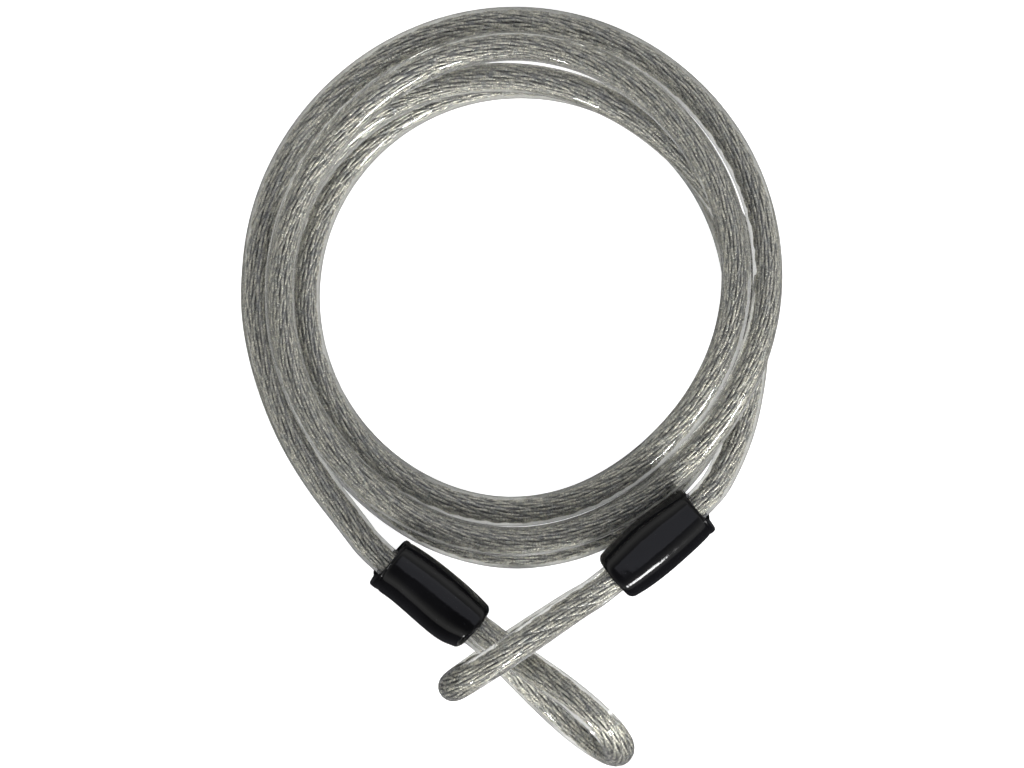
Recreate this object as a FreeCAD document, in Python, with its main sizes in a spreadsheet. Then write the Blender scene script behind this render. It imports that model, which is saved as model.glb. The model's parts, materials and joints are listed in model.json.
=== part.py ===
import FreeCAD, Part
import math
import os

import Sketcher

from FreeCAD import Placement, Rotation, Vector

# A double-loop security cable, coiled and lying flat on a surface.
# Steel wire rope in a clear sheath makes nearly four loose turns. Each end is doubled back into an
# eye, clamped in an oval ferrule, and the ferrule sits in a soft barrel-shaped cover.
#
# Frame: +Z up, the surface at Z = 0, the origin under the middle of the whole object.
# Each end has a local frame of its own: its origin is the middle of the cover's mouth at the
# eye side, +X runs towards the eye, and +Z runs from the live leg to the dead leg.

# name, value (mm or degrees), what it is
DIMENSIONS = [
    ("cable_diameter", 12.0, "outside of the clear sheath"),
    ("rope_diameter", 7.0, "across the six outer strands of the rope"),
    ("core_diameter", 2.4, "core strand in the middle of the rope"),
    ("leg_offset", 6.05, "from the ferrule's axis to each leg"),
    ("coil_centre_x", 1.7, "middle of the coil"),
    ("coil_centre_y", 38.4, "middle of the coil"),
    ("cover_length", 44.5, "crease at the tail side to the rim at the eye side"),
    ("cover_end_width", 20.8, "across the cover at both ends"),
    ("cover_end_height", 30.4, "across both legs at both ends"),
    ("cover_barrel_width", 24.0, "across the cover at its middle"),
    ("cover_barrel_height", 32.0, "across both legs at its middle"),
    ("collar_length", 3.5, "lip that shrinks round the single cable"),
    ("collar_width", 17.0, "across the lip"),
    ("collar_height", 19.0, "across the lip"),
    ("ferrule_length", 36.0, "length of the crimped ferrule"),
    ("ferrule_wall", 2.6, "metal outside each bore"),
    ("ferrule_setback", 4.0, "ferrule to the cover's rim at the eye side"),
    ("ferrule_edge", 0.8, "rounded edge at the ends of the ferrule"),
    ("dead_end_stub", 1.5, "how far the dead leg stands out of the ferrule"),
    ("straight_exit", 7.5, "both legs run straight this far out of the cover"),
    ("tail_bend", 50.5, "eye side of the cover to the bend outside its mouth"),
    ("left_x", -14.5, "left end: origin of the local frame"),
    ("left_y", -96.8, "left end: origin of the local frame"),
    ("left_z", 27.5, "left end: origin of the local frame"),
    ("left_yaw", -37.5, "left end: direction of the ferrule"),
    ("left_pitch", -8.0, "left end: ferrule rises towards the eye"),
    ("left_roll", -8.0, "left end: legs lean to the inside"),
    ("left_eye_yaw", -40.0, "left eye: direction"),
    ("left_eye_pitch", -3.0, "left eye: rise"),
    ("left_eye_roll", -11.5, "left eye: lean"),
    ("right_x", 41.4, "right end: origin of the local frame"),
    ("right_y", -76.8, "right end: origin of the local frame"),
    ("right_z", 24.5, "right end: origin of the local frame"),
    ("right_yaw", -139.7, "right end: direction of the ferrule"),
    ("right_pitch", -9.0, "right end: ferrule rises towards the eye"),
    ("right_roll", -1.5, "right end: legs lean to the outside"),
    ("right_eye_yaw", -146.2, "right eye: direction"),
    ("right_eye_pitch", -6.0, "right eye: rise"),
    ("right_eye_roll", -1.5, "right eye: lean"),
]

SIDES = ("left", "right")

# Envelope of the coil at each eighth of a turn, clockwise from the left:
# inner radius, outer radius and height, in mm.
COIL_SECTIONS = [
    (78.0, 110.4, 27.0),
    (76.2, 111.4, 30.0),
    (77.0, 113.8, 26.0),
    (78.8, 111.2, 30.0),
    (81.8, 106.8, 32.0),
    (79.0, 102.6, 26.0),
    (82.6, 109.0, 24.0),
    (80.6, 103.6, 25.0),
]

# Where the cable is not coiled, from the bend just outside the cover's mouth to the coil (mm).
TAILS = {
    "left": [
        (-63.9, -54.2, 14.6),
        (-76.9, -37.8, 14.0),
        (-87.9, -19.6, 13.8),
        (-95.9, 0.4, 14.0),
        (-100.9, 19.8, 14.5),
        (-102.5, 38.4, 14.8),
    ],
    "right": [
        (86.1, -32.6, 8.6),
        (92.3, -17.2, 8.0),
        (95.9, -0.2, 9.4),
        (97.7, 18.0, 13.0),
    ],
}

# One side of an eye in the eye's own plane: distance from the cover, distance from the middle line.
EYE_SIDE = [(17.5, 9.4), (30.0, 16.0), (43.0, 22.0), (56.0, 24.2), (68.0, 19.4), (75.5, 7.8)]
EYE_STRETCH = {"left": 1.0, "right": 1.03}

# Each arc takes this share of the shorter run beside it.
ARC_SHARE = 0.45

# How far a swept rod's volume may be from its section times its length.
VOLUME_TOLERANCE = 0.01
# Lengths below this count as nothing (mm).
NEGLIGIBLE = 1e-6

# Across an end: an ellipse drawn here has its long axis along the local Z.
ACROSS = Rotation(Vector(0, 0, 1), Vector(0, -1, 0), Vector(1, 0, 0))

doc = FreeCAD.newDocument("CableLock")
sheet = doc.addObject("Spreadsheet::Sheet", "Dimensions")


def fill_sheet():
    for row, (name, value, note) in enumerate(DIMENSIONS, start=1):
        sheet.set(f"A{row}", name)
        sheet.set(f"B{row}", str(value))
        sheet.set(f"C{row}", note)
        sheet.setAlias(f"B{row}", name)
    doc.recompute()


def size(name):
    return float(getattr(sheet, name))


def bind(obj, prop, expression):
    obj.setExpression(prop, expression)
    return obj


def ferrule_frame(side):
    base = Vector(size(f"{side}_x"), size(f"{side}_y"), size(f"{side}_z"))
    turn = Rotation(size(f"{side}_yaw"), size(f"{side}_pitch"), size(f"{side}_roll"))
    return Placement(base, turn)


def eye_frame(side):
    turn = Rotation(size(f"{side}_eye_yaw"), size(f"{side}_eye_pitch"), size(f"{side}_eye_roll"))
    return Placement(ferrule_frame(side).Base, turn)


def smooth_path(points, name):
    """Straight runs joined by the largest tangent arcs that the runs allow."""
    edges = []
    radii = []
    last = points[0]
    for before, corner, after in zip(points, points[1:], points[2:]):
        back = before - corner
        ahead = after - corner
        half_turn = (math.pi - back.getAngle(ahead)) / 2
        reach = ARC_SHARE * min(back.Length, ahead.Length)
        radius = reach / math.tan(half_turn)
        back.normalize()
        ahead.normalize()
        start = corner + back * reach
        end = corner + ahead * reach
        inward = (back + ahead).normalize()
        middle = corner + inward * (radius / math.cos(half_turn) - radius)
        edges.append(Part.LineSegment(last, start).toShape())
        edges.append(Part.Arc(start, middle, end).toShape())
        radii.append(round(radius, 1))
        last = end
    edges.append(Part.LineSegment(last, points[-1]).toShape())
    print(name, "radii", radii)
    path = doc.addObject("Part::Feature", name)
    path.Shape = Part.Wire(edges)
    return path


def swept_rod(name, path, diameter):
    """A round rod of the named diameter along a path."""
    first = path.Shape.Edges[0]
    start = first.Vertexes[0].Point
    ring = doc.addObject("Part::Circle", name + "_section")
    ring.Placement = Placement(start, Rotation(Vector(0, 0, 1), first.tangentAt(first.FirstParameter)))
    bind(ring, "Radius", f"Dimensions.{diameter} / 2")
    rod = doc.addObject("Part::Sweep", name)
    rod.Sections = [ring]
    rod.Spine = path
    rod.Solid = True
    rod.Frenet = False
    return rod


def check_rod(rod):
    """A sweep can come out valid and still be wrong, so its volume is compared with its route."""
    radius = rod.Sections[0].Shape.Edges[0].Curve.Radius
    expected = math.pi * radius ** 2 * rod.Spine[0].Shape.Length
    if abs(rod.Shape.Volume / expected - 1) > VOLUME_TOLERANCE:
        raise RuntimeError(f"{rod.Name} has {rod.Shape.Volume:.0f} mm3 and should have {expected:.0f}")


def cut(name, base, tool):
    result = doc.addObject("Part::Cut", name)
    result.Base = base
    result.Tool = tool
    return result


def cable_layers(name, rope_route, sheath_route):
    """Sheath, outer strands and core strand of one stretch, each a solid of its own."""
    rope_path = smooth_path(rope_route, name + "_rope_path")
    sheath_path = smooth_path(sheath_route, name + "_sheath_path")
    outside = swept_rod(f"{name}_cable_rod", sheath_path, "cable_diameter")
    inside = swept_rod(f"{name}_sheath_bore", sheath_path, "rope_diameter")
    rope = swept_rod(f"{name}_rope_rod", rope_path, "rope_diameter")
    core = swept_rod(f"{name}_core", rope_path, "core_diameter")
    layers = {
        "sheath": cut(f"{name}_sheath", outside, inside),
        "strands": cut(f"{name}_strands", rope, core),
        "core": core,
    }
    return layers, [outside, rope]


def make_coil():
    """The outer shape of the coiled turns: a ring lofted through an oval at each eighth of a turn."""
    centre = Vector(size("coil_centre_x"), size("coil_centre_y"), 0)
    sections = []
    for index, (inner, outer, height) in enumerate(COIL_SECTIONS):
        angle = math.pi - index * math.pi / 4
        stretch = FreeCAD.Matrix()
        stretch.scale((outer - inner) / 2, height / 2, 1)
        oval = Part.makeCircle(1).transformGeometry(stretch)
        outward = Vector(math.cos(angle), math.sin(angle), 0)
        section = doc.addObject("Part::Feature", f"coil_section_{index + 1}")
        section.Shape = Part.Wire(oval)
        facing = Rotation(outward, Vector(0, 0, 1), outward.cross(Vector(0, 0, 1)))
        middle = centre + outward * (inner + outer) / 2 + Vector(0, 0, height / 2)
        section.Placement = Placement(middle, facing)
        sections.append(section)
    coil = doc.addObject("Part::Loft", "coil_ring")
    coil.Sections = sections
    coil.Closed = True
    coil.Solid = True
    return coil


def leg_points(side, up, stations):
    """Points along one leg of an end, in the object's frame."""
    frame = ferrule_frame(side)
    return [frame.multVec(Vector(along, 0, up)) for along in stations]


def eye_route(side, start, end):
    """Round the eye, from one place on the dead leg to another on the live leg."""
    leg = size("leg_offset")
    straight = size("straight_exit")
    frame = eye_frame(side)
    outline = [(along * EYE_STRETCH[side], up) for along, up in EYE_SIDE]
    upper = [frame.multVec(Vector(along, 0, up)) for along, up in outline]
    lower = [frame.multVec(Vector(along, 0, -up)) for along, up in reversed(outline)]
    return leg_points(side, leg, [start, straight]) + upper + lower + leg_points(side, -leg, [straight, end])


def tail_route(side, start):
    """From a place on the live leg, out of the cover's mouth, to the coil."""
    mouth = leg_points(side, -size("leg_offset"), [start, -size("tail_bend")])
    return mouth + [Vector(*point) for point in TAILS[side]]


def constrained(sketch, kind, *where, value=None, sized_by=None):
    """Adds one constraint and binds its value to the sheet."""
    if sized_by is None:
        sketch.addConstraint(Sketcher.Constraint(kind, *where))
    else:
        index = sketch.addConstraint(Sketcher.Constraint(kind, *where, value))
        sketch.setExpression(f"Constraints[{index}]", sized_by)


def make_ferrule(side):
    """An oval metal sleeve with two bores, crimped on both legs of the rope."""
    body = doc.addObject("PartDesign::Body", f"{side}_ferrule")
    sketch = body.newObject("Sketcher::SketchObject", f"{side}_ferrule_section")
    plane = next(item for item in body.Origin.OriginFeatures if item.Role == "YZ_Plane")
    sketch.AttachmentSupport = [(plane, "")]
    sketch.MapMode = "FlatFace"
    leg = size("leg_offset")
    bore = size("rope_diameter") / 2
    outer = bore + size("ferrule_wall")
    up = Vector(0, 0, 1)
    top = Part.ArcOfCircle(Part.Circle(Vector(0, leg, 0), up, outer), 0, math.pi)
    bottom = Part.ArcOfCircle(Part.Circle(Vector(0, -leg, 0), up, outer), math.pi, 2 * math.pi)
    left_flank = Part.LineSegment(Vector(-outer, leg, 0), Vector(-outer, -leg, 0))
    right_flank = Part.LineSegment(Vector(outer, -leg, 0), Vector(outer, leg, 0))
    sketch.addGeometry([top, left_flank, bottom, right_flank], False)
    for first, second in ((0, 1), (1, 2), (2, 3), (3, 0)):
        constrained(sketch, "Tangent", first, 2, second, 1)
    outer_size = "Dimensions.rope_diameter / 2 + Dimensions.ferrule_wall"
    constrained(sketch, "Radius", 0, value=outer, sized_by=outer_size)
    for arc, height, leg_size in ((0, leg, "Dimensions.leg_offset"), (2, -leg, "-Dimensions.leg_offset")):
        constrained(sketch, "PointOnObject", arc, 3, -2)
        constrained(sketch, "DistanceY", -1, 1, arc, 3, value=height, sized_by=leg_size)
        hole = sketch.addGeometry(Part.Circle(Vector(0, height, 0), up, bore), False)
        constrained(sketch, "Coincident", hole, 3, arc, 3)
        constrained(sketch, "Radius", hole, value=bore, sized_by="Dimensions.rope_diameter / 2")
    pad = body.newObject("PartDesign::Pad", f"{side}_ferrule_pad")
    pad.Profile = sketch
    bind(pad, "Length", "Dimensions.ferrule_length")
    body.Tip = pad
    doc.recompute()
    rim = [
        f"Edge{number}"
        for number, edge in enumerate(pad.Shape.Edges, start=1)
        if edge.BoundBox.XLength < NEGLIGIBLE and edge.BoundBox.YLength > 2 * bore + NEGLIGIBLE
    ]
    fillet = body.newObject("PartDesign::Fillet", f"{side}_ferrule_edge")
    fillet.Base = (pad, rim)
    bind(fillet, "Radius", "Dimensions.ferrule_edge")
    body.Tip = fillet
    back = -size("ferrule_setback") - size("ferrule_length")
    body.Placement = ferrule_frame(side) * Placement(Vector(back, 0, 0), Rotation())
    return body


def oval(name, along, width, height, drop=0.0):
    """An upright ellipse across the ferrule's axis."""
    section = doc.addObject("Part::Ellipse", name)
    section.Placement = Placement(Vector(along, 0, -drop), ACROSS)
    bind(section, "MajorRadius", f"Dimensions.{height} / 2")
    bind(section, "MinorRadius", f"Dimensions.{width} / 2")
    return section


def loft(name, sections, ruled):
    result = doc.addObject("Part::Loft", name)
    result.Sections = sections
    result.Solid = True
    result.Ruled = ruled
    return result


def make_cover(side, ferrule, rods):
    """A soft barrel over the ferrule, with a lip that shrinks round the single cable."""
    length = size("cover_length")
    crease = -length
    lip = crease - size("collar_length")
    lip_drop = size("leg_offset") / 2
    name = f"{side}_cover"
    mouth = oval(f"{name}_mouth", crease, "cover_end_width", "cover_end_height")
    middle = oval(f"{name}_middle", crease / 2, "cover_barrel_width", "cover_barrel_height")
    rim = oval(f"{name}_rim", 0, "cover_end_width", "cover_end_height")
    edge = oval(f"{name}_lip", lip, "collar_width", "collar_height", lip_drop)
    barrel = loft(f"{name}_barrel", [mouth, middle, rim], False)
    collar = loft(f"{name}_collar", [edge, mouth], True)
    skin = doc.addObject("Part::Fuse", f"{name}_skin")
    skin.Base = barrel
    skin.Tool = collar
    skin.Placement = ferrule_frame(side)
    filling = doc.addObject("Part::MultiFuse", f"{name}_filling")
    filling.Shapes = [ferrule] + rods
    return cut(name, skin, filling)


def check_everything():
    for obj in doc.Objects:
        if "Invalid" in obj.State or "Error" in obj.State:
            raise RuntimeError(f"{obj.Name} failed: {obj.State}")
        if obj.TypeId == "Part::Sweep":
            check_rod(obj)


def export(nodes):
    os.makedirs("parts", exist_ok=True)
    for name, obj in nodes.items():
        obj.Label = name
        shape = obj.Shape
        if shape.isNull() or not shape.isValid():
            raise RuntimeError(f"{name} has no valid shape")
        print(f"{name}: {len(shape.Solids)} solid, {shape.Volume / 1000:.2f} cm3")
        shape.exportStep(f"parts/{name}.step")


def build():
    fill_sheet()
    nodes = {"cable_coil": make_coil()}
    front = -size("ferrule_setback")
    back = front - size("ferrule_length")
    for side in SIDES:
        tail = tail_route(side, back)
        tail_layers, tail_rods = cable_layers(f"{side}_tail", tail, tail)
        rope = eye_route(side, back - size("dead_end_stub"), back)
        eye_layers, eye_rods = cable_layers(f"{side}_eye", rope, eye_route(side, front, front))
        ferrule = make_ferrule(side)
        nodes |= {f"{side}_tail_{layer}": solid for layer, solid in tail_layers.items()}
        nodes |= {f"{side}_eye_{layer}": solid for layer, solid in eye_layers.items()}
        nodes[f"{side}_ferrule"] = ferrule
        nodes[f"{side}_cover"] = make_cover(side, ferrule, tail_rods + eye_rods)
    doc.recompute()
    check_everything()
    export(nodes)


build()
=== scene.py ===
import json
import math

import bpy
import numpy as np
from mathutils import Matrix, Vector

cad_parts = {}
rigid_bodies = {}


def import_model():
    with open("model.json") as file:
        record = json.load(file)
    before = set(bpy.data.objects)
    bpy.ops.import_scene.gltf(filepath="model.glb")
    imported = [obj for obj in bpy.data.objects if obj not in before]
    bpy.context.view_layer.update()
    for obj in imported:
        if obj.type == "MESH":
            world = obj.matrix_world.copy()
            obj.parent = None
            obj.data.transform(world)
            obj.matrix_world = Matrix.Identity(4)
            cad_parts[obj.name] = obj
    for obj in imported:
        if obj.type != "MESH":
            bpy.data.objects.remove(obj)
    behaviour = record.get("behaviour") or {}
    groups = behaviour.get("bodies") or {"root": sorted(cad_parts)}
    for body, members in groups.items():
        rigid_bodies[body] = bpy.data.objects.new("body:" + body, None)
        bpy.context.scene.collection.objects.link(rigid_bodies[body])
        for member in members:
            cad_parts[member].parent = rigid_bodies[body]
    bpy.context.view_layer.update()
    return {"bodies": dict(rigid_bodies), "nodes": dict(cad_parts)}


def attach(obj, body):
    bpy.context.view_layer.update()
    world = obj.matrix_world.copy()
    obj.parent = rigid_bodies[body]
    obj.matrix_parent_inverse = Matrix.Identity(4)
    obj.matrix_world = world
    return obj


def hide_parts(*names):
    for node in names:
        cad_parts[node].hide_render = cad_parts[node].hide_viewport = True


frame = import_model()

BODY = sorted(frame["bodies"])[0]
MM = 0.001

# ---------------------------------------------------------------- camera

FRAME_WIDTH = 0.4096          # metres across the picture at the height of the coil
FRAME_MIDDLE = (0.0005, 0.0008)
LENS = 500.0
SENSOR = 36.0
COIL_HEIGHT = 0.015


def add_camera():
    data = bpy.data.cameras.new("camera")
    data.lens = LENS
    data.sensor_width = SENSOR
    camera = bpy.data.objects.new("camera", data)
    camera.location = (*FRAME_MIDDLE, COIL_HEIGHT + FRAME_WIDTH * LENS / SENSOR)
    bpy.context.scene.collection.objects.link(camera)
    bpy.context.scene.camera = camera


# ---------------------------------------------------------------- the cable's route, in millimetres

SIDES = ("left", "right")
LEG_OFFSET = 6.05             # each leg of an eye is this far from the middle of its ferrule
STRAIGHT_EXIT = 7.5           # how far the legs stay straight past the cover
DEAD_END = -41.5              # cut end of the cable, along the end's axis
TAIL_BEND = -50.5             # bend just outside the cover's mouth, along the same axis
# Place of the cover's loop end; turn, nod and tilt of the ferrule; the same of the eye; its reach.
ENDS = {
    "left": ((-14.5, -96.8, 27.5), (-37.5, -8.0, -8.0), (-40.0, -3.0, -11.5), 1.0),
    "right": ((41.4, -76.8, 24.5), (-139.7, -9.0, -1.5), (-146.2, -6.0, -1.5), 1.03),
}
EYE_SIDE = [(17.5, 9.4), (30.0, 16.0), (43.0, 22.0), (56.0, 24.2), (68.0, 19.4), (75.5, 7.8)]
TAILS = {  # from the ferrule to the coil
    "left": [(-63.9, -54.2, 14.6), (-76.9, -37.8, 14.0), (-87.9, -19.6, 13.8),
             (-95.9, 0.4, 14.0), (-100.9, 19.8, 14.5), (-102.5, 38.4, 14.8)],
    "right": [(86.1, -32.6, 8.6), (92.3, -17.2, 8.0), (95.9, -0.2, 9.4), (97.7, 18.0, 13.0)],
}
COIL_CENTRE = (1.7, 38.4)
COIL_START = 180.0
SECTIONS_PER_TURN = 8
POINTS_PER_SECTION = 3
COIL_SECTIONS = [  # radius and height at each eighth of a turn, clockwise from the left
    (104.2, 14.8), (106.4, 8.0), (108.6, 6.0), (106.2, 9.0),
    (101.6, 25.0), (97.5, 17.5), (101.8, 16.5), (97.6, 19.0),
    (94.8, 21.5), (94.8, 25.0), (98.6, 18.0), (93.6, 26.0),
    (89.0, 25.4), (85.6, 17.5), (89.6, 8.0), (87.4, 6.0),
    (84.8, 6.0), (83.2, 6.0), (83.4, 6.0), (86.4, 6.0),
    (90.4, 6.0), (99.8, 6.0), (106.8, 6.0), (98.8, 7.5),
    (96.8, 6.3), (91.6, 14.0), (85.4, 17.4), (85.6, 17.6), (96.0, 16.0),
]


def turned(angles):
    yaw, pitch, roll = (math.radians(a) for a in angles)
    return (Matrix.Rotation(yaw, 3, "Z") @ Matrix.Rotation(pitch, 3, "Y")
            @ Matrix.Rotation(roll, 3, "X"))


def end_point(side, angles, along, up):
    """A point of an end, from how far it is along the end's axis and how far above it."""
    return tuple(Vector(ENDS[side][0]) + turned(angles) @ Vector((along, 0.0, up)))


def leg(side, up, stations):
    angles = ENDS[side][1]
    return [end_point(side, angles, along, up) for along in stations]


def eye(side, sign):
    """One half of an eye, from the ferrule out to its tip."""
    angles, reach = ENDS[side][2:]
    return [end_point(side, angles, along * reach, sign * up) for along, up in EYE_SIDE]


def between(before, start, end, after, share):
    """Catmull-Rom value between start and end."""
    out = (end - before) / 2
    into = (after - start) / 2
    s2, s3 = share ** 2, share ** 3
    return ((2 * s3 - 3 * s2 + 1) * start + (s3 - 2 * s2 + share) * out
            + (3 * s2 - 2 * s3) * end + (s3 - s2) * into)


def coil_value(column, place):
    """Radius (column 0) or height (column 1) at a place counted in sections."""
    values = [section[column] for section in COIL_SECTIONS]
    i = min(int(place), len(values) - 2)
    before = values[i - 1] if i > 0 else 2 * values[i] - values[i + 1]
    after = values[i + 2] if i + 2 < len(values) else 2 * values[i + 1] - values[i]
    return between(before, values[i], values[i + 1], after, place - i)


def coil():
    """The turns, without their first point, which ends the left tail."""
    points = []
    for i in range(1, (len(COIL_SECTIONS) - 1) * POINTS_PER_SECTION + 1):
        place = i / POINTS_PER_SECTION
        angle = math.radians(COIL_START - 360.0 / SECTIONS_PER_TURN * place)
        radius = coil_value(0, place)
        points.append((COIL_CENTRE[0] + radius * math.cos(angle),
                       COIL_CENTRE[1] + radius * math.sin(angle), coil_value(1, place)))
    return points


def route():
    """The whole cable, from its left dead end to its right one."""
    out = (DEAD_END, STRAIGHT_EXIT)
    live = (TAIL_BEND, STRAIGHT_EXIT)
    points = leg("left", LEG_OFFSET, out) + eye("left", 1) + eye("left", -1)[::-1]
    points += leg("left", -LEG_OFFSET, live[::-1]) + TAILS["left"] + coil()
    points += TAILS["right"][::-1] + leg("right", -LEG_OFFSET, live)
    points += eye("right", -1) + eye("right", 1)[::-1] + leg("right", LEG_OFFSET, out[::-1])
    return [Vector(p) * MM for p in points]


# ---------------------------------------------------------------- meshes

CABLE_DIAMETER = 0.012
CABLE_NODES = ["cable_coil"] + [
    f"{side}_{part}_{layer}" for side in SIDES
    for part in ("tail", "eye") for layer in ("sheath", "strands", "core")
]


def link(name, data):
    obj = bpy.data.objects.new(name, data)
    bpy.context.scene.collection.objects.link(obj)
    return obj


def route_curve(name):
    """The route as one open NURBS spline."""
    data = bpy.data.curves.new(name, "CURVE")
    data.dimensions = "3D"
    points = route()
    spline = data.splines.new("NURBS")
    spline.points.add(len(points) - 1)
    for point, place in zip(spline.points, points):
        point.co = (*place, 1.0)
    spline.order_u = 3
    spline.use_endpoint_u = True
    spline.resolution_u = 12
    return data


def add_sheath(material):
    data = route_curve("cable_sheath")
    data.bevel_depth = CABLE_DIAMETER / 2
    data.bevel_resolution = 8
    data.use_fill_caps = True
    data.materials.append(material)
    sheath = link("cable_sheath", data)
    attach(sheath, BODY)
    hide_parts(*CABLE_NODES)
    return sheath


def centre_line():
    """Points read from the route's spline."""
    bare = link("route", route_curve("route"))
    bpy.context.view_layer.update()
    evaluated = bare.evaluated_get(bpy.context.evaluated_depsgraph_get())
    mesh = bpy.data.meshes.new_from_object(evaluated)
    points = np.array([v.co for v in mesh.vertices])
    bpy.data.objects.remove(bare)
    bpy.data.meshes.remove(mesh)
    return points


def spaced(points, step):
    """A point at every step along the line, and two directions across the line at each."""
    lengths = np.concatenate([[0.0], np.cumsum(np.linalg.norm(np.diff(points, axis=0), axis=1))])
    count = int(lengths[-1] / step)
    at = np.arange(count + 1) * step
    place = np.stack([np.interp(at, lengths, points[:, axis]) for axis in range(3)], axis=1)
    tangent = np.gradient(place, axis=0)
    tangent /= np.linalg.norm(tangent, axis=1)[:, None]
    normal = np.zeros_like(place)
    start = np.cross(tangent[0], (0.0, 0.0, 1.0))
    normal[0] = start / np.linalg.norm(start)
    for i in range(1, len(place)):
        carried = normal[i - 1] - tangent[i] * (normal[i - 1] @ tangent[i])
        normal[i] = carried / np.linalg.norm(carried)
    return place, normal, np.cross(tangent, normal)


def on_tube(line, angle, radius):
    """Points round the line. The first axis of angle and radius runs along it."""
    place, normal, across = line
    shape = (len(place),) + (1,) * (angle.ndim - 1) + (3,)
    return (place.reshape(shape) + radius[..., None] * (
        np.cos(angle)[..., None] * normal.reshape(shape)
        + np.sin(angle)[..., None] * across.reshape(shape)))


def mesh_object(name, vertices, faces, material):
    """A smooth mesh of quads that rides on the lock."""
    data = bpy.data.meshes.new(name)
    data.vertices.add(len(vertices))
    data.vertices.foreach_set("co", vertices.astype(np.float32).ravel())
    data.loops.add(faces.size)
    data.loops.foreach_set("vertex_index", faces.astype(np.int32).ravel())
    data.polygons.add(len(faces))
    data.polygons.foreach_set("loop_start", np.arange(0, faces.size, 4, dtype=np.int32))
    data.polygons.foreach_set("use_smooth", np.ones(len(faces), dtype=bool))
    data.update(calc_edges=True)
    data.materials.append(material)
    obj = link(name, data)
    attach(obj, BODY)
    return obj


def tube_faces(rows, tubes, sides):
    """Quads of several closed tubes, each rows long."""
    index = np.arange(rows * tubes * sides).reshape(rows, tubes, sides)
    beside = np.roll(index, -1, axis=2)
    return np.stack([index[:-1], beside[:-1], beside[1:], index[1:]], axis=-1).reshape(-1, 4)


# The wire rope: strands laid right-handed round a core, and the wires of each strand laid the
# other way, so that they lie nearly along the rope where they show.
STRANDS = 6
WIRES = 6
WIRE_RADIUS = 0.00043
WIRE_SIDES = 8
STRAND_MIDDLE = 0.00218       # from the rope's axis to a strand's
STRAND_DEPTH = 0.0006         # from a strand's axis to its outermost wire's
STRAND_REACH = 0.42           # half the angle that a strand's wires take up round the rope
ROPE_LAY = 0.056              # length of rope in which a strand goes once round it
STRAND_LAY = 0.0262           # length of rope in which a wire goes once round its strand
STRAND_SHIFT = 0.5            # how far a strand's wires are ahead of its neighbour's, in wires
ROPE_STEP = 0.0012
ROPE_PIECES = 12
ROPE_SEED = 11
VALLEY = 0.0018               # distance from the axis down to which light reaches
# How far the wires stray from a perfect lay, and how fast that changes along them (radians per metre).
TURN_STRAY = (0.16, 310.0)
LIFT_STRAY = (0.00008, 730.0)
DRIFT_STRAY = (0.03, 130.0)


def wire_tubes(along, rng):
    """Angle and radius round the rope's axis of the points of every wire."""
    strand = np.arange(STRANDS)[None, :, None, None]
    wire = np.arange(WIRES)[None, None, :, None]
    side = 2 * math.pi * np.arange(WIRE_SIDES)[None, None, None, :] / WIRE_SIDES
    along = along[:, None, None, None]
    phase = rng.uniform(0.0, 2 * math.pi, (2, 1, STRANDS, WIRES, 1))
    turn = 2 * math.pi * ((wire + STRAND_SHIFT * strand) / WIRES - along / STRAND_LAY)
    turn = turn + TURN_STRAY[0] * np.sin(TURN_STRAY[1] * along + phase[0])
    lift = LIFT_STRAY[0] * np.sin(LIFT_STRAY[1] * along + phase[1])
    drift = DRIFT_STRAY[0] * np.sin(DRIFT_STRAY[1] * along + phase[0, :, :, :1])
    middle = STRAND_MIDDLE + STRAND_DEPTH * np.cos(turn) + lift
    angle = 2 * math.pi * (strand / STRANDS + along / ROPE_LAY) + STRAND_REACH * np.sin(turn) + drift
    return angle + WIRE_RADIUS * np.cos(side) / middle, middle + WIRE_RADIUS * np.sin(side)


def add_strands(points, material):
    """The outer strands, cut across into pieces. Each point carries how high it stands on the rope."""
    line = spaced(points, ROPE_STEP)
    along = np.arange(len(line[0])) * ROPE_STEP
    angle, radius = wire_tubes(along, np.random.default_rng(ROPE_SEED))
    vertices = on_tube(line, angle, radius).reshape(len(along), -1, 3)
    top = STRAND_MIDDLE + STRAND_DEPTH + WIRE_RADIUS
    # This height sets the wires' painted shade: dark in the valleys, light on the crowns.
    height = np.clip((radius - VALLEY) / (top - VALLEY), 0.0, 1.0).reshape(len(along), -1)
    cuts = np.linspace(0, len(along) - 1, ROPE_PIECES + 1).astype(int)
    pieces = []
    for number, (first, last) in enumerate(zip(cuts[:-1], cuts[1:])):
        part = slice(first, last + 1)
        faces = tube_faces(last + 1 - first, STRANDS * WIRES, WIRE_SIDES)
        piece = mesh_object(f"cable_strands_{number + 1}", vertices[part].reshape(-1, 3), faces,
                            material)
        stored = piece.data.attributes.new("height", "FLOAT", "POINT")
        stored.data.foreach_set("value", height[part].astype(np.float32).ravel())
        pieces.append(piece)
    return pieces


CORE_RADIUS = 0.0016
CORE_SIDES = 24
CORE_STEP = 0.002
CORE_GROOVE = 0.3             # depth between its wires, in wire radii


def add_core(points, material):
    """The core strand, one tube with a lobe for each of its wires."""
    line = spaced(points, CORE_STEP)
    along = np.arange(len(line[0]))[:, None, None] * CORE_STEP
    round_once = 2 * math.pi * np.arange(CORE_SIDES)[None, None, :] / CORE_SIDES
    angle = np.broadcast_to(round_once, (len(along), 1, CORE_SIDES))
    lobes = np.abs(np.cos(WIRES / 2 * angle - 2 * math.pi * along / STRAND_LAY))
    radius = CORE_RADIUS - CORE_GROOVE * WIRE_RADIUS * (1.0 - lobes)
    vertices = on_tube(line, angle, radius).reshape(-1, 3)
    faces = tube_faces(len(along), 1, CORE_SIDES)
    return mesh_object("cable_core", vertices, faces, material)


# ---------------------------------------------------------------- the covers, in millimetres

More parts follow.
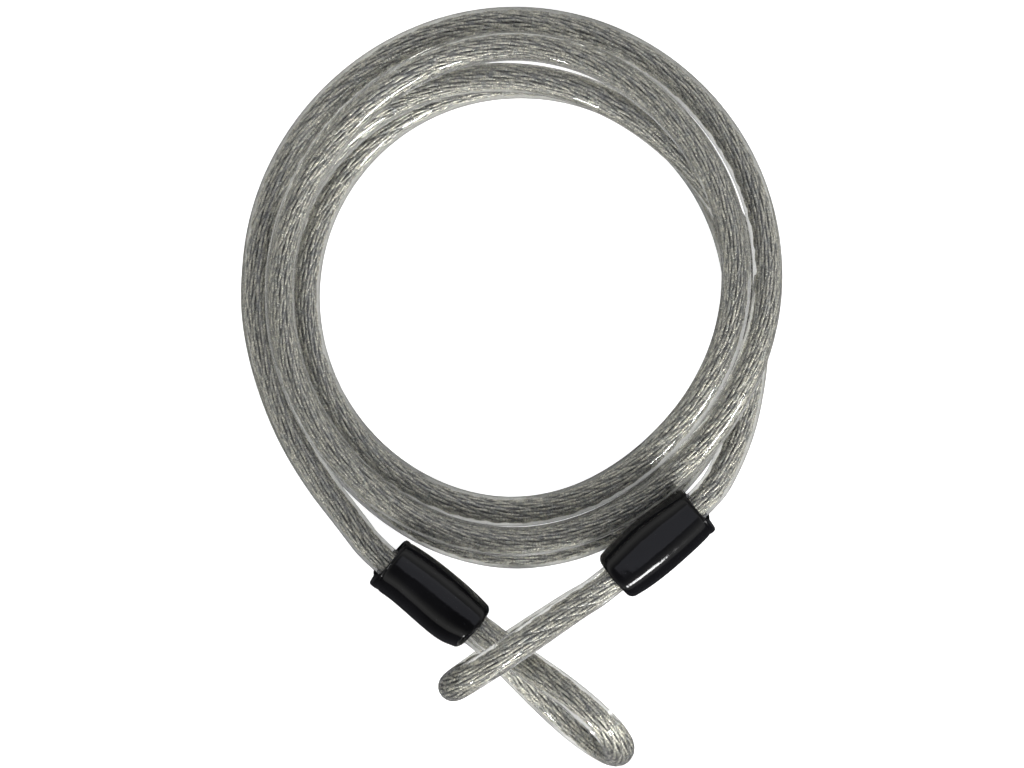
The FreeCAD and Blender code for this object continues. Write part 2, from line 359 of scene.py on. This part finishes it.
RING_POINTS = 64
OVAL_POWER = 2.5              # 2 is an ellipse, more is squarer
WALL = 1.4
LEG_OPENING = (6.3, 12.4)     # half width and half height of the hole that the two legs leave by
LEG_OPENING_POWER = 3.0
COLLAR_RADIUS = 6.3           # the skirt's hole, round the single cable
BARREL = {  # place along the cover; half width on its +Y side and on its -Y side; half height
    "left": [(-3.2, 10.7, 10.6, 15.3), (-6.0, 11.2, 11.7, 15.6), (-12.0, 11.8, 12.3, 15.9),
             (-18.0, 12.1, 12.0, 16.0), (-24.0, 12.3, 11.6, 16.0), (-30.0, 12.2, 11.2, 15.9),
             (-34.0, 12.0, 11.0, 15.7), (-37.5, 11.7, 11.1, 15.5), (-39.5, 11.5, 11.3, 15.4)],
    "right": [(-3.2, 11.0, 10.9, 15.3), (-6.0, 11.6, 11.3, 15.6), (-12.0, 12.2, 12.0, 15.9),
              (-18.0, 12.4, 12.4, 16.0), (-24.0, 12.4, 12.2, 16.0), (-30.0, 12.2, 11.7, 15.9),
              (-34.0, 12.1, 11.3, 15.7), (-37.5, 11.8, 11.0, 15.5), (-39.5, 11.6, 10.9, 15.4)],
}
# Loop end: along the cover, and how far in from the barrel's outline (0) to the hole (1).
LOOP_END = [(-9.0, 1.0), (-2.4, 1.0), (-1.1, 0.97), (-0.3, 0.86), (0.1, 0.66), (0.0, 0.45),
            (-0.5, 0.25), (-1.3, 0.09), (-2.2, 0.02)]
LOOP_LEAN = 2.9               # how much further its end reaches at the top than at the middle
LEAN_FADE = 16.0              # over this length
# Mouth: a crease all round, then an open lip on one side and a skirt in to the cable on the other.
# Along the cover, and depth below the barrel's outline.
CREASE = [(-40.4, 0.2), (-40.7, 0.5), (-41.0, 0.3), (-41.4, 0.08)]
OPEN_LIP = [(-42.6, 0.05), (-43.6, 0.25), (-44.1, 0.65), (-43.9, 1.1), (-43.2, WALL), (-41.5, WALL),
            (-39.0, WALL), (-36.0, WALL)]
# Along the cover, and share of the way in from the barrel's outline to the collar.
SKIRT = [(-42.8, 0.0), (-44.0, 0.03), (-44.5, 0.14), (-44.5, 0.35), (-44.6, 0.62), (-45.3, 0.88),
         (-46.4, 1.0), (-44.0, 1.0)]
SKIRT_SIDE = {"left": -1.0, "right": 1.0}
SKIRT_DROP = 0.15             # how much it turns towards the floor
SKIRT_EDGE = (1.3, 0.45)      # how sharply it becomes the lip, and its share where they meet
MOUTH_LEAN = 3.0              # how much less its mouth reaches at the top than at the middle
MOUTH_FADE = (-40.0, 4.0)     # from this place, over this length


def oval(angle, plus, minus, half_height, power=OVAL_POWER):
    """Points round an oval whose two sides differ, as across and up."""
    c, s = np.cos(angle), np.sin(angle)
    width = np.where(c > 0, plus, minus)
    grow = (np.abs(c) ** power + np.abs(s) ** power) ** (-1.0 / power)
    return np.stack([width * c * grow, half_height * s * grow], axis=1)


def cover_rings(side):
    """Rings of the cover's skin: from inside its loop end, over the outside and in at its mouth."""
    angle = np.arange(RING_POINTS) * 2 * math.pi / RING_POINTS
    hole = oval(angle, LEG_OPENING[0], LEG_OPENING[0], LEG_OPENING[1], LEG_OPENING_POWER)
    collar = COLLAR_RADIUS * np.stack([np.cos(angle), np.sin(angle)], axis=1)
    collar[:, 1] -= LEG_OFFSET
    barrel = [(x, oval(angle, *halves)) for x, *halves in BARREL[side]]
    first, last = barrel[0][1], barrel[-1][1]
    inward = -last / np.linalg.norm(last, axis=1)[:, None]
    toward_skirt = SKIRT_SIDE[side] * np.cos(angle) - SKIRT_DROP * np.sin(angle)
    share = np.clip(toward_skirt * SKIRT_EDGE[0] + SKIRT_EDGE[1], 0.0, 1.0)
    share = (share * share * (3 - 2 * share))[:, None]
    rise = np.sin(angle)[:, None]

    def ring(x, outline):
        lean = LOOP_LEAN * np.clip(1.0 + x / LEAN_FADE, 0.0, 1.0) ** 2
        lean = lean + MOUTH_LEAN * np.clip((MOUTH_FADE[0] - x) / MOUTH_FADE[1], 0.0, 1.0)
        return np.concatenate([x + lean * rise, outline], axis=1)

    rings = [ring(x, first + (hole - first) * inset) for x, inset in LOOP_END]
    rings += [ring(x, outline) for x, outline in barrel]
    rings += [ring(x, last + inward * depth) for x, depth in CREASE]
    for (open_x, depth), (skirt_x, inset) in zip(OPEN_LIP, SKIRT):
        opened = ring(open_x, last + inward * depth)
        skirt = ring(skirt_x, last + (collar - last) * inset)
        rings.append(opened + (skirt - opened) * share)
    return np.array(rings)


def add_cover(side, material):
    rings = cover_rings(side)
    origin, angles = ENDS[side][:2]
    vertices = (np.array(origin) + rings.reshape(-1, 3) @ np.array(turned(angles)).T) * MM
    index = np.arange(rings.shape[0] * RING_POINTS).reshape(rings.shape[0], RING_POINTS)
    following = np.roll(index, -1, axis=0)
    faces = np.stack([index, np.roll(index, -1, axis=1), np.roll(following, -1, axis=1), following],
                     axis=-1).reshape(-1, 4)
    cover = mesh_object(f"{side}_cover_skin", vertices, faces, material)
    smooth = cover.modifiers.new("smooth", "SUBSURF")
    smooth.levels = smooth.render_levels = 1
    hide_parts(f"{side}_cover")


# ---------------------------------------------------------------- materials

def new_material(name):
    material = bpy.data.materials.new(name)
    material.use_nodes = True
    tree = material.node_tree
    tree.nodes.clear()
    output = tree.nodes.new("ShaderNodeOutputMaterial")
    shader = tree.nodes.new("ShaderNodeBsdfPrincipled")
    tree.links.new(shader.outputs["BSDF"], output.inputs["Surface"])
    return material, tree, shader, output


def set_inputs(node, **values):
    for name, value in values.items():
        node.inputs[name.replace("_", " ")].default_value = value


def noise(tree, scale, detail=3.0, roughness=0.5):
    place = tree.nodes.new("ShaderNodeTexCoord")
    texture = tree.nodes.new("ShaderNodeTexNoise")
    set_inputs(texture, Scale=scale, Detail=detail, Roughness=roughness)
    tree.links.new(place.outputs["Object"], texture.inputs["Vector"])
    return texture.outputs["Fac"]


def ramp(tree, value, stops):
    """A colour for each value, from stops of (value, colour)."""
    node = tree.nodes.new("ShaderNodeValToRGB")
    elements = node.color_ramp.elements
    while len(elements) < len(stops):
        elements.new(0.5)
    for element, (place, colour) in zip(elements, stops):
        element.position = place
        element.color = (*colour, 1.0)
    tree.links.new(value, node.inputs["Fac"])
    return node.outputs["Color"]


NOISE_RANGE = (0.3, 0.7)      # nearly all of a noise texture lies between these


def spread(tree, value, low, high):
    """Noise stretched to run from low to high."""
    node = tree.nodes.new("ShaderNodeMapRange")
    set_inputs(node, From_Min=NOISE_RANGE[0], From_Max=NOISE_RANGE[1], To_Min=low, To_Max=high)
    tree.links.new(value, node.inputs["Value"])
    return node.outputs["Result"]


MIX_A, MIX_B, MIX_RESULT = 6, 7, 2     # sockets of a Mix node that take colours


def multiplied(tree, first, second):
    node = tree.nodes.new("ShaderNodeMix")
    node.data_type = "RGBA"
    node.blend_type = "MULTIPLY"
    node.inputs["Factor"].default_value = 1.0
    tree.links.new(first, node.inputs[MIX_A])
    tree.links.new(second, node.inputs[MIX_B])
    return node.outputs[MIX_RESULT]


def either(tree, share, first, second):
    """The first shader where share is 0 and the second where it is 1."""
    node = tree.nodes.new("ShaderNodeMixShader")
    tree.links.new(share, node.inputs["Fac"])
    tree.links.new(first, node.inputs[1])
    tree.links.new(second, node.inputs[2])
    return node.outputs["Shader"]


def bump(tree, shader, height, strength, distance):
    node = tree.nodes.new("ShaderNodeBump")
    set_inputs(node, Strength=strength, Distance=distance)
    tree.links.new(height, node.inputs["Height"])
    tree.links.new(node.outputs["Normal"], shader.inputs["Normal"])


def clear_vinyl():
    """Clear sheath. Lamps shine straight through it, so that the rope inside is lit."""
    material, tree, shader, output = new_material("clear_vinyl")
    set_inputs(shader, Base_Color=(0.95, 0.95, 0.92, 1.0), Transmission_Weight=0.94, IOR=1.5,
               Sheen_Weight=0.3, Sheen_Roughness=0.3)
    tree.links.new(spread(tree, noise(tree, 900.0), 0.0, 0.01), shader.inputs["Roughness"])
    rays = tree.nodes.new("ShaderNodeLightPath")
    through = tree.nodes.new("ShaderNodeBsdfTransparent")
    seen = either(tree, rays.outputs["Is Shadow Ray"], shader.outputs["BSDF"], through.outputs["BSDF"])
    tree.links.new(seen, output.inputs["Surface"])
    return material


def steel(name, dark, light, rough):
    """Plain metal between two greys."""
    material, tree, shader, _ = new_material(name)
    set_inputs(shader, Metallic=1.0)
    grain = noise(tree, 700.0, 4.0, 0.65)
    tree.links.new(ramp(tree, grain, [(0.3, dark), (0.7, light)]), shader.inputs["Base Color"])
    tree.links.new(spread(tree, noise(tree, 300.0), *rough), shader.inputs["Roughness"])
    bump(tree, shader, noise(tree, 2500.0, 2.0), 0.2, 0.0001)
    return material


def wire_steel():
    """Bright drawn wire, with painted shade down in the valleys between the strands and painted light
    on the crowns.
    """
    material, tree, shader, _ = new_material("strand_wire")
    set_inputs(shader, Metallic=1.0)
    height = tree.nodes.new("ShaderNodeAttribute")
    height.attribute_name = "height"
    # Painted shade: nearly black down between the strands and light on the crowns, by each point's
    # height on the rope.
    painted_valley_shade = ramp(tree, height.outputs["Fac"],
                [(0.2, (0.045, 0.046, 0.047)), (0.62, (0.40, 0.40, 0.39)), (0.9, (0.86, 0.85, 0.78))])
    grain = ramp(tree, noise(tree, 420.0, 3.0, 0.6),
                 [(0.36, (0.60, 0.62, 0.64)), (0.56, (1.0, 0.98, 0.93))])
    specks = ramp(tree, noise(tree, 1700.0, 2.0),
                  [(0.42, (0.54, 0.54, 0.53)), (0.58, (1.0, 1.0, 1.0))])
    tree.links.new(multiplied(tree, multiplied(tree, painted_valley_shade, grain), specks), shader.inputs["Base Color"])
    tree.links.new(spread(tree, noise(tree, 300.0), 0.22, 0.32), shader.inputs["Roughness"])
    bump(tree, shader, noise(tree, 1500.0, 2.0), 0.7, 0.00025)
    return material


def black_vinyl():
    """Glossy black, with the shallow dents of a soft cover."""
    material, tree, shader, _ = new_material("black_vinyl")
    set_inputs(shader, IOR=1.38)
    clouds = ramp(tree, noise(tree, 60.0, 4.0),
                  [(0.3, (0.002, 0.002, 0.0025)), (0.7, (0.005, 0.005, 0.006))])
    tree.links.new(clouds, shader.inputs["Base Color"])
    tree.links.new(spread(tree, noise(tree, 220.0), 0.07, 0.14), shader.inputs["Roughness"])
    bump(tree, shader, noise(tree, 140.0, 3.0), 0.18, 0.0006)
    return material


def floor_paint():
    """Pale paint, with a glow that only the camera sees. It is dark where a surface mirrors it."""
    material, tree, paint, output = new_material("floor_paint")
    set_inputs(paint, Roughness=0.9)
    pale = ramp(tree, noise(tree, 3.0), [(0.3, (0.84, 0.84, 0.83)), (0.7, (0.86, 0.86, 0.85))])
    tree.links.new(pale, paint.inputs["Base Color"])
    glow = tree.nodes.new("ShaderNodeEmission")
    set_inputs(glow, Strength=0.8)
    lit = tree.nodes.new("ShaderNodeAddShader")
    tree.links.new(paint.outputs["BSDF"], lit.inputs[0])
    tree.links.new(glow.outputs["Emission"], lit.inputs[1])
    dark = tree.nodes.new("ShaderNodeBsdfDiffuse")
    set_inputs(dark, Color=(0.06, 0.06, 0.065, 1.0))
    rays = tree.nodes.new("ShaderNodeLightPath")
    mirrored = tree.nodes.new("ShaderNodeMath")      # reflected, but not seen through the sheath
    mirrored.operation = "SUBTRACT"
    mirrored.use_clamp = True
    tree.links.new(rays.outputs["Is Glossy Ray"], mirrored.inputs[0])
    tree.links.new(rays.outputs["Is Transmission Ray"], mirrored.inputs[1])
    seen = either(tree, rays.outputs["Is Camera Ray"], paint.outputs["BSDF"], lit.outputs["Shader"])
    seen = either(tree, mirrored.outputs["Value"], seen, dark.outputs["BSDF"])
    tree.links.new(seen, output.inputs["Surface"])
    return material


# ---------------------------------------------------------------- floor and light

FLOOR_REACH = 3.0


def add_floor():
    data = bpy.data.meshes.new("floor")
    corners = [(-1, -1), (1, -1), (1, 1), (-1, 1)]
    data.from_pydata([(FLOOR_REACH * x, FLOOR_REACH * y, 0) for x, y in corners], [], [(0, 1, 2, 3)])
    data.materials.append(floor_paint())
    link("floor", data)


def add_lamp(name, azimuth, height, distance, size, power, colour=(1.0, 1.0, 1.0)):
    """A softbox that faces the origin. Azimuth is from +X, height above the floor, in degrees."""
    data = bpy.data.lights.new(name, "AREA")
    data.shape = "RECTANGLE"
    data.size, data.size_y = size
    data.energy = power
    data.color = colour
    lamp = link(name, data)
    a, e = math.radians(azimuth), math.radians(height)
    toward = Vector((math.cos(a) * math.cos(e), math.sin(a) * math.cos(e), math.sin(e)))
    lamp.location = toward * distance
    lamp.rotation_euler = toward.to_track_quat("Z", "Y").to_euler()


# Sine of a direction's height above the floor, and how bright the studio is there.
SKY = [(0.0, (0.50, 0.50, 0.49)), (0.35, (0.90, 0.90, 0.88)), (0.6, (0.52, 0.52, 0.51)),
       (0.85, (0.14, 0.14, 0.15)), (1.0, (0.09, 0.09, 0.10))]


def add_lights():
    world = bpy.data.worlds.new("studio")
    world.use_nodes = True
    tree = world.node_tree
    background = tree.nodes["Background"]
    direction = tree.nodes.new("ShaderNodeTexCoord")
    parts = tree.nodes.new("ShaderNodeSeparateXYZ")
    tree.links.new(direction.outputs["Generated"], parts.inputs["Vector"])
    tree.links.new(ramp(tree, parts.outputs["Z"], SKY), background.inputs["Color"])
    bpy.context.scene.world = world
    add_lamp("lower_right_lamp_1", -43.0, 26.0, 1.3, (0.2, 0.24), 6.5)
    add_lamp("lower_right_lamp_2", -59.0, 26.0, 1.3, (0.2, 0.24), 6.5)
    add_lamp("lower_left_lamp", -112.0, 14.0, 1.3, (0.14, 0.14), 3.0)
    add_lamp("overhead_box", 50.0, 66.0, 1.5, (1.5, 0.9), 3.0, (0.86, 0.88, 1.0))


# ---------------------------------------------------------------- the object

add_camera()
sheath = add_sheath(clear_vinyl())
middle = centre_line()
inside = add_strands(middle, wire_steel())
# The core's steel is painted nearly black, as painted shade in the gaps between the strands.
core_material = steel("core_wire", (0.015, 0.016, 0.02), (0.04, 0.04, 0.045), (0.4, 0.6))
inside.append(add_core(middle, core_material))
left_start = tuple(route()[0])

cover_material = black_vinyl()
ferrule_material = steel("ferrule_alloy", (0.45, 0.45, 0.46), (0.62, 0.62, 0.63), (0.25, 0.4))
for side in SIDES:
    add_cover(side, cover_material)
    ferrule = frame["nodes"][f"{side}_ferrule"]
    ferrule.data.materials.clear()
    ferrule.data.materials.append(ferrule_material)

add_floor()
add_lights()
bpy.context.scene.view_settings.view_transform = "Standard"
